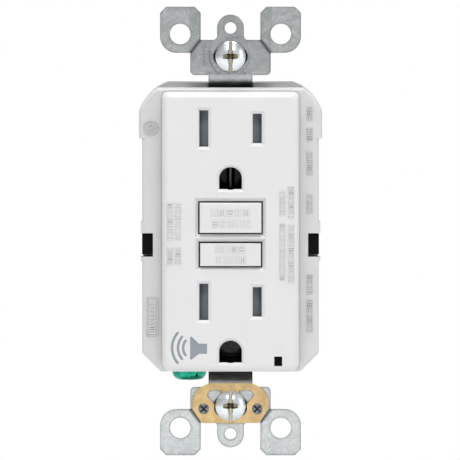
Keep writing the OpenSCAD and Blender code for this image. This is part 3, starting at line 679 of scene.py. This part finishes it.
def ground_screw():
    """Green hexagonal screw: a chamfered head below the body and a thread into the yoke's tab."""
    low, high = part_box("ground_screw")
    middle = (low + high) / 2 / MM
    head = [(3.0, 0.0), (3.9, 0.0), (4.12, 0.14), (4.12, 1.4), (4.0, 1.95), (3.75, 2.5), (3.3, 3.0),
            (2.7, 3.3), (1.9, 3.4), (1.3, 3.15), (0.3, 3.05)]
    hexagon = mesh_from(*rings_mesh(hexagon_rings(7.14, head, math.pi / 6)))
    shank = mesh_from(*rings_mesh(thread_rings(2.0, 0.4, UNC_6_PITCH, -3.9, 0.1)))
    mesh = joined([hexagon, shank])
    seat = low.z / MM + max(h for _, h in head)
    upside_down = Matrix.Rotation(math.pi, 4, "X")
    mesh.transform(Matrix.Translation(Vector((middle.x, middle.y, seat)) * MM) @ upside_down)
    obj = place_object("ground_screw_fine", mesh, "green_zinc", "ground_screw", bevel_mm=0.06)
    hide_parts("ground_screw")


def clip_stakes():
    """The strap's studs, spread over the grounding clip by a cross-shaped punch."""
    profile = [(1.27, 0.0), (1.27, 1.68), (1.18, 1.8), (0.95, 1.9), (0.3, 1.9)]
    wedge = [(0.32, 2.2), (0.0, 1.45), (-0.32, 2.2)]
    meshes = []
    for side in (-1, 1):
        cutters = []
        for angle in (45, 135):
            groove = mesh_from(*rings_mesh([[(x, y, h) for x, h in wedge] for y in (-1.05, 1.05)]))
            groove.transform(Matrix.Rotation(math.radians(angle), 4, "Z"))
            cutters.append(groove)
        stud = carve(mesh_from(*rings_mesh(lathe_rings(profile, 40))), cutters)
        meshes.append(turned(stud, (0, -1, 0), (side * STAKE_X, -0.05, STAKE_Z)))
    obj = place_object("clip_stakes", joined(meshes), "dark_steel", "housing", bevel_mm=0.03)
    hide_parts("clip_rivets")


# ---------------------------------------------------------------- springs and windings
def helix(radius, wire, length, turns, per_turn=20, closed=0.75):
    """Centre line of a compression spring along Z, with closed coils at both ends."""
    steps = int(turns * per_turn)
    points = []
    for i in range(steps + 1):
        t = i / steps * turns
        free = min(max(t - closed, 0.0), turns - 2 * closed) / (turns - 2 * closed)
        end = min(t, closed) + max(0.0, t - turns + closed)
        rise = wire * 2.05
        h = wire + rise * end + (length - 2 * wire - 2 * closed * rise) * free
        a = 2 * math.pi * t
        points.append((radius * math.cos(a), radius * math.sin(a), h))
    return points


def spring(name, node, body, radius, wire, length, turns, place, axis):
    """Compression spring from place along axis."""
    mesh = mesh_from(*tube_mesh(helix(radius, wire, length, turns), wire))
    turn = Matrix.Identity(4)
    if axis != (0, 0, 1):
        turn = Vector(axis).to_track_quat("Z", "Y").to_matrix().to_4x4()
    mesh.transform(Matrix.Translation(Vector(place) * MM) @ turn)
    obj = place_object(name, mesh, "spring_steel", body)
    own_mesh(obj)
    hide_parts(node)


def solenoid_wire():
    """Enamelled wire on the solenoid: a visible layer of turns over a plain core."""
    turns, per_turn, start, end = 30, 36, 18.62, 29.58
    coil_r, core_r, bore_r, margin = 4.42, 4.38, 2.75, 0.15
    coil = []
    for i in range(turns * per_turn + 1):
        a = 2 * math.pi * i / per_turn
        along = start + (end - start) * i / (turns * per_turn)
        coil.append((coil_r * math.cos(a), COIL_Y + coil_r * math.sin(a), along))
    layer = mesh_from(*tube_mesh(coil, 0.19, 6))
    low, high = start - margin, end + margin
    section = ((bore_r, low), (core_r, low), (core_r, high), (bore_r, high))
    rings = [[(x, COIL_Y + y, z) for x, y, z in ring] for ring in lathe_rings(section, 48)]
    core = mesh_from(*rings_mesh(rings, False))
    obj = place_object("solenoid_wire", joined([layer, core]), "copper", "housing")
    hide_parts("solenoid_winding")


def core_wire(name, node, y0, y1):
    """Enamelled wire round a sensing core that stands on the Y axis."""
    turns, per_turn = 44, 12
    path = []
    for i in range(turns * per_turn + 1):
        a = 2 * math.pi * i / (turns * per_turn)
        b = 2 * math.pi * i / per_turn
        r = 4.35 + 1.26 * math.copysign(abs(math.cos(b)) ** 0.5, math.cos(b))
        y = (y0 + y1) / 2 + (y1 - y0) * 0.46 * math.copysign(abs(math.sin(b)) ** 0.5, math.sin(b))
        path.append((r * math.cos(a), y, SENSE_Z + r * math.sin(a)))
    wire = mesh_from(*tube_mesh(path, 0.13, 6))
    section = ((3.2, y0 + 0.15), (5.5, y0 + 0.15), (5.5, y1 - 0.15), (3.2, y1 - 0.15))
    angles = [2 * math.pi * j / 48 for j in range(49)]
    ring = [[(r * math.cos(a), y, SENSE_Z + r * math.sin(a)) for r, y in section] for a in angles]
    obj = place_object(name, joined([wire, mesh_from(*rings_mesh(ring, False))]), "copper", "housing")
    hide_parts(node)


for side in (1, -1):
    where = "upper" if side == 1 else "lower"
    box_screw(f"box_screw_{where}", f"mounting_screw_{where}", f"{where}_screw", side)
for line, level in (("line", -TERMINAL_Z), ("load", TERMINAL_Z)):
    terminal_screw(f"{line}_hot_screw", "brass", 1, level)
    terminal_screw(f"{line}_neutral_screw", "nickel_brass", -1, level)
housing_screws()
ground_screw()
clip_stakes()
solenoid_wire()
core_wire("sense_wire", "sense_coil", 14.3, 17.1)
core_wire("grounded_neutral_wire", "grounded_neutral_coil", 17.8, 20.6)
spring("reset_return_spring", "reset_spring", "housing", 2.35, 0.25, 5.5, 5.5, (0, -4.35, RESET_Z), (0, 1, 0))
spring("plunger_return_spring", "plunger_spring", "housing", 1.55, 0.2, 2.9, 4.5, (0, COIL_Y, 17.65),
       (0, 0, 1))
spring("latch_return_spring", "latch_spring", "lifter", 1.0, 0.18, 2.7, 4.5, (0, 13, -2.95), (0, 0, 1))
for where in ("upper", "lower"):
    low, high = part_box(f"{where}_shutter_spring")
    middle = (low.z + high.z) / 2 / MM
    spring(f"{where}_shutter_coil", f"{where}_shutter_spring", "housing", 0.62, 0.17, 9.3, 7.5,
           (-4.65, -5.2, middle), (1, 0, 0))


# ---------------------------------------------------------------- raised marks
def raised_outline(points, surface, height, edge=0.09):
    """A raised pad on a surface that looks to the front: points are (x, z) round its outline."""
    cx = sum(p[0] for p in points) / len(points)
    cz = sum(p[1] for p in points) / len(points)

    def ring(inset, y):
        out = []
        for x, z in points:
            size = max(0.01, math.hypot(x - cx, z - cz))
            s = max(0.2, 1 - inset / size)
            out.append((cx + (x - cx) * s, y, cz + (z - cz) * s))
        return out

    return rings_mesh([ring(0, surface + 0.03), ring(0, surface - height + edge), ring(edge, surface - height)])


def block_points(x, z, w, h, corner=0.12):
    """Outline of a rectangle with rounded corners, centred at (x, z)."""
    c = min(corner, w / 2.5, h / 2.5)
    points = []
    for sx, sz, a0 in ((1, 1, 0), (-1, 1, 90), (-1, -1, 180), (1, -1, 270)):
        for a in (0, 45, 90):
            r = math.radians(a0 + a)
            points.append((x + sx * (w / 2 - c) + c * math.cos(r), z + sz * (h / 2 - c) + c * math.sin(r)))
    return points


def raised_bar(x, z, w, h, surface, height, edge=0.07):
    """A raised bar with sloping sides, centred at (x, z)."""
    rings = []
    for inset, y in ((0, 0.03), (0, edge - height), (edge, -height)):
        outline = block_points(x, z, w - 2 * inset, h - 2 * inset, 0.08)
        rings.append([(px, surface + y, pz) for px, pz in outline])
    return rings_mesh(rings)


def merged(parts):
    """Points and faces of several parts as one list each."""
    verts, faces = [], []
    for part_verts, part_faces in parts:
        base = len(verts)
        verts += part_verts
        faces += [tuple(i + base for i in face) for face in part_faces]
    return verts, faces


# Each mark is a few bars in a unit cell: (place along the row, place across it, length along, length across).
MARK_SHAPES = (
    ((-0.36, 0, 0.26, 1.0), (0.36, 0, 0.26, 1.0)),
    ((0, -0.38, 1.0, 0.2), (0, 0, 1.0, 0.2), (0, 0.38, 1.0, 0.2)),
    ((-0.33, 0.3, 0.34, 0.38), (0.33, 0.3, 0.34, 0.38), (-0.33, -0.3, 0.34, 0.38), (0.33, -0.3, 0.34, 0.38)),
    ((-0.38, 0, 0.24, 1.0), (0, 0, 0.24, 0.6), (0.38, 0, 0.24, 1.0)),
    ((-0.34, 0, 0.28, 1.0), (0.28, 0.33, 0.4, 0.3), (0.28, -0.33, 0.4, 0.3)),
)


def row_of_marks(start, end, across, tall, pitch, surface, height, upright=False, seed=0):
    """Abstract bars that stand in for a line of small marks. upright rows run along Z, others along X."""
    count = max(1, round(abs(end - start) / pitch))
    step = (end - start) / count
    wide = abs(step) * 0.74
    parts = []
    for i in range(count):
        at = start + step * (i + 0.5)
        for u, v, lu, lv in MARK_SHAPES[(i * 3 + seed * 2 + i // 4) % len(MARK_SHAPES)]:
            centre = (at + u * wide, across + v * tall)
            size = (lu * wide, lv * tall)
            if upright:
                centre, size = centre[::-1], size[::-1]
            parts.append(raised_bar(*centre, *size, surface, height))
    return merged(parts)


def arc_band(cx, cz, r, width, a0, a1, surface, height, steps=24):
    """Raised band along an arc, closed into a ring when it goes right round."""
    section = ((-width / 2, 0.03), (-width / 2, -height * 0.6), (-width / 4, -height),
               (width / 4, -height), (width / 2, -height * 0.6), (width / 2, 0.03))
    rings = []
    for i in range(steps + 1):
        a = math.radians(a0 + (a1 - a0) * i / steps)
        rings.append([(cx + (r + d) * math.cos(a), surface + y, cz + (r + d) * math.sin(a))
                      for d, y in section])
    return rings_mesh(rings)


def face_marks():
    """Moulded marks of the cover: rows on the face and the right shoulder, and two marks on the left one."""
    up = dict(upright=True, surface=FACE_FRONT, height=0.16)
    parts = []
    for x, seed in ((-14.4, 0), (-12.5, 1)):
        parts.append(row_of_marks(-8.0, -3.6, x, 1.5, 1.1, seed=seed, **up))
        parts.append(row_of_marks(-2.1, 7.0, x, 1.5, 1.25, seed=seed + 2, **up))
    parts.append(row_of_marks(9.9, 3.7, 12.35, 1.5, 1.1, seed=3, **up))
    parts.append(row_of_marks(2.1, -11.7, 12.35, 1.5, 1.15, seed=4, **up))
    parts.append(row_of_marks(11.0, 3.1, 14.4, 1.5, 1.2, seed=5, **up))
    parts.append(row_of_marks(1.9, -12.3, 14.4, 1.5, 1.15, seed=6, **up))
    shoulder = dict(upright=True, surface=SHOULDER_FRONT, height=0.2)
    groups = ((29.8, 26.2), (24.8, 21.4), (19.2, 13.2), (8.9, 4.1), (-10.2, -15.2), (-16.2, -24.2))
    for i, (a, b) in enumerate(groups):
        parts.append(row_of_marks(a, b, 18.85, 1.5, 1.15, seed=i, **shoulder))
    # mould date ring at the upper left: two circles, a pointer and twelve dots
    cx, cz = -19.05, 24.6
    parts.append(arc_band(cx, cz, 1.75, 0.24, 0, 360, SHOULDER_FRONT, 0.2, 48))
    parts.append(arc_band(cx, cz, 0.75, 0.18, 0, 360, SHOULDER_FRONT, 0.2, 32))
    parts.append(raised_outline(block_points(cx, cz, 0.22, 0.8, 0.05), SHOULDER_FRONT, 0.2))
    for i in range(12):
        a = math.radians(30 * i)
        dot = block_points(cx + 1.26 * math.cos(a), cz + 1.26 * math.sin(a), 0.22, 0.22, 0.1)
        parts.append(raised_outline(dot, SHOULDER_FRONT, 0.2))
    # plain frame at the lower left with blocks inside
    for x, z, w, h in ((-18.7, -15.95, 2.8, 0.25), (-18.7, -24.85, 2.8, 0.25), (-20.0, -20.4, 0.25, 8.9),
                       (-17.4, -20.4, 0.25, 8.9)):
        parts.append(raised_outline(block_points(x, z, w, h, 0.05), SHOULDER_FRONT, 0.2))
    parts.append(row_of_marks(-16.6, -24.2, -18.7, 1.5, 1.9, seed=2, **shoulder))
    make_object("cover_marks", *merged(parts), "white_plastic", "housing")


def button_marks():
    """Two rows of marks on each button."""
    tall, height = 1.75, 0.16
    top = FACE_FRONT - RESET_PROUD
    reset = merged([row_of_marks(-4.9, 4.7, RESET_Z + 1.24, tall, 1.92, top, height, seed=0),
                    row_of_marks(-4.6, 5.0, RESET_Z - 1.41, tall, 1.92, top, height, seed=3)])
    make_object("reset_button_marks", *reset, "white_plastic", "reset_key")
    top = FACE_FRONT - TEST_PROUD
    test = merged([row_of_marks(-3.8, 3.6, TEST_Z + 1.25, tall, 1.85, top, height, seed=1),
                   row_of_marks(-3.6, 3.8, TEST_Z - 1.25, tall, 1.85, top, height, seed=2)])
    make_object("test_button_marks", *test, "white_plastic", "test_key")


def speaker_sign():
    """Printed sound sign: a horn and three waves with round ends, as an ink film on the face."""
    ink, sunk = 0.03, 0.02
    horn = [(-9.6, -25.05), (-9.3, -24.9), (-7.54, -26.6), (-5.6, -26.6), (-5.6, -29.0), (-7.54, -29.0),
            (-9.3, -30.4), (-9.6, -30.25)]
    parts = [rings_mesh([[(x, y, z) for x, z in horn] for y in (FACE_FRONT + sunk, FACE_FRONT - ink)])]
    cx, cz, stroke = -8.45, -27.6, 0.6
    for r, spread in ((2.82, 37), (4.05, 40), (5.45, 40.5)):
        parts.append(arc_band(cx, cz, r, stroke, 180 - spread, 180 + spread, FACE_FRONT, ink, 20))
        for end in (180 - spread, 180 + spread):
            x, z = cx + r * math.cos(math.radians(end)), cz + r * math.sin(math.radians(end))
            cap = [(x + stroke / 2 * math.cos(a), z + stroke / 2 * math.sin(a))
                   for a in (2 * math.pi * j / 16 for j in range(16))]
            parts.append(rings_mesh([[(px, y, pz) for px, pz in cap]
                                     for y in (FACE_FRONT + sunk, FACE_FRONT - ink * 0.9)]))
    make_object("sound_sign", *merged(parts), "sign_ink", "housing", "grey_plastic", smooth=False)


def yoke_stamps():
    """Shallow stamped marks: blocks beside the upper screw, part of a ring, and a dented lower edge."""
    parts = [row_of_marks(45.2, 39.3, -6.3, 1.0, 0.85, YOKE_FRONT, 0.06, True, 1),
             row_of_marks(44.2, 39.9, -5.1, 0.8, 0.85, YOKE_FRONT, 0.06, True, 4),
             row_of_marks(-1.3, 2.7, 46.1, 0.75, 0.85, YOKE_FRONT, 0.06, False, 2),
             row_of_marks(-5.8, 5.0, 37.75, 0.7, 0.6, YOKE_FRONT, 0.07, False, 5)]
    parts.append(arc_band(0, BOX_SCREW_Z, 4.95, 0.28, 172, 240, YOKE_FRONT, 0.07))
    parts.append(arc_band(0, BOX_SCREW_Z, 4.55, 0.2, -52, 12, YOKE_FRONT, 0.05))
    make_object("yoke_stamps", *merged(parts), "galvanised_steel", "housing")
    clip = row_of_marks(-3.8, 3.3, -37.35, 0.75, 0.75, CLIP_FRONT, 0.05, False, 3)
    make_object("clip_stamps", *clip, "brass", "housing")


face_marks()
button_marks()
speaker_sign()
yoke_stamps()


# ---------------------------------------------------------------- studio
def area_light(name, place, size, power):
    """Soft white rectangular light that looks at the object."""
    light = bpy.data.lights.new(name, "AREA")
    light.shape = "RECTANGLE"
    light.size, light.size_y = size
    light.energy = power
    obj = bpy.data.objects.new(name, light)
    obj.location = place
    obj.rotation_euler = (-Vector(place)).to_track_quat("-Z", "Y").to_euler()
    bpy.context.scene.collection.objects.link(obj)


def studio():
    """White backdrop, a dim room for the object's reflections and four soft lights."""
    scene = bpy.context.scene
    scene.view_settings.view_transform = "Standard"
    world = bpy.data.worlds.new("studio")
    scene.world = world
    world.use_nodes = True
    tree = world.node_tree
    tree.nodes.clear()
    out = tree.nodes.new("ShaderNodeOutputWorld")
    seen = tree.nodes.new("ShaderNodeBackground")
    lit = tree.nodes.new("ShaderNodeBackground")
    seen.inputs["Color"].default_value = (1, 1, 1, 1)
    # The room is bright in front of the object and dim behind it.
    coords = tree.nodes.new("ShaderNodeTexCoord")
    parts = tree.nodes.new("ShaderNodeSeparateXYZ")
    fade = tree.nodes.new("ShaderNodeMapRange")
    tree.links.new(coords.outputs["Generated"], parts.inputs[0])
    tree.links.new(parts.outputs["Y"], fade.inputs["Value"])
    for key, value in (("From Min", -0.6), ("From Max", 0.3), ("To Min", 0.56), ("To Max", 0.16)):
        fade.inputs[key].default_value = value
    tree.links.new(fade.outputs["Result"], lit.inputs["Color"])
    ray = tree.nodes.new("ShaderNodeLightPath")
    mix = tree.nodes.new("ShaderNodeMixShader")
    tree.links.new(ray.outputs["Is Camera Ray"], mix.inputs[0])
    tree.links.new(lit.outputs[0], mix.inputs[1])
    tree.links.new(seen.outputs[0], mix.inputs[2])
    tree.links.new(mix.outputs[0], out.inputs[0])
    area_light("key", (0.0, -0.7, 0.95), (0.6, 0.2), 6.0)
    area_light("overhead", (0, 0.0, 1.3), (0.8, 0.5), 9.0)
    area_light("right", (0.9, -0.4, 0.2), (0.3, 0.8), 0.95)
    area_light("back", (-0.2, 0.9, 0.5), (0.8, 0.8), 0.6)


def floor():
    """Pale floor under the ears. Seen along its surface, it fades into the white backdrop."""
    half = 1.6
    low = cad_box[0].z - 0.0006
    bm = bmesh.new()
    bmesh.ops.create_grid(bm, x_segments=8, y_segments=8, size=half)
    mesh = bpy.data.meshes.new("floor")
    bm.to_mesh(mesh)
    bm.free()
    obj = bpy.data.objects.new("floor", mesh)
    obj.location = (0, 0, low)
    bpy.context.scene.collection.objects.link(obj)
    g = Graph("floor")
    g.set((0.93, 0.93, 0.93), g.ramp(g.noise(30), 0.6, 0.75), g.bump(g.noise(2.0), 0.02))
    grazing = g.ramp(g.add("ShaderNodeLayerWeight").outputs["Facing"], 0, 1, 0.75, 0.93)
    seen = g.add_values(grazing, g.add("ShaderNodeLightPath").outputs["Is Camera Ray"], "MULTIPLY")
    backdrop = g.add("ShaderNodeEmission")
    fade = g.add("ShaderNodeMixShader")
    g.tree.links.new(seen, fade.inputs[0])
    g.tree.links.new(g.bsdf.outputs["BSDF"], fade.inputs[1])
    g.tree.links.new(backdrop.outputs[0], fade.inputs[2])
    g.tree.links.new(fade.outputs[0], g.out.inputs["Surface"])
    mesh.materials.append(g.mat)


def camera():
    """Long lens a little above the middle of the object, looking straight at its face."""
    data = bpy.data.cameras.new("camera")
    data.sensor_width = 36
    distance = 2.6
    view_width = 0.1097
    above = math.radians(1.65)
    data.lens = data.sensor_width * distance / view_width
    data.clip_end = 10
    obj = bpy.data.objects.new("camera", data)
    aim = Vector((-0.00012, -0.001, 0.00026))
    obj.location = aim + distance * Vector((0, -math.cos(above), math.sin(above)))
    obj.rotation_euler = (aim - obj.location).to_track_quat("-Z", "Y").to_euler()
    bpy.context.scene.collection.objects.link(obj)
    bpy.context.scene.camera = obj


studio()
floor()
camera()
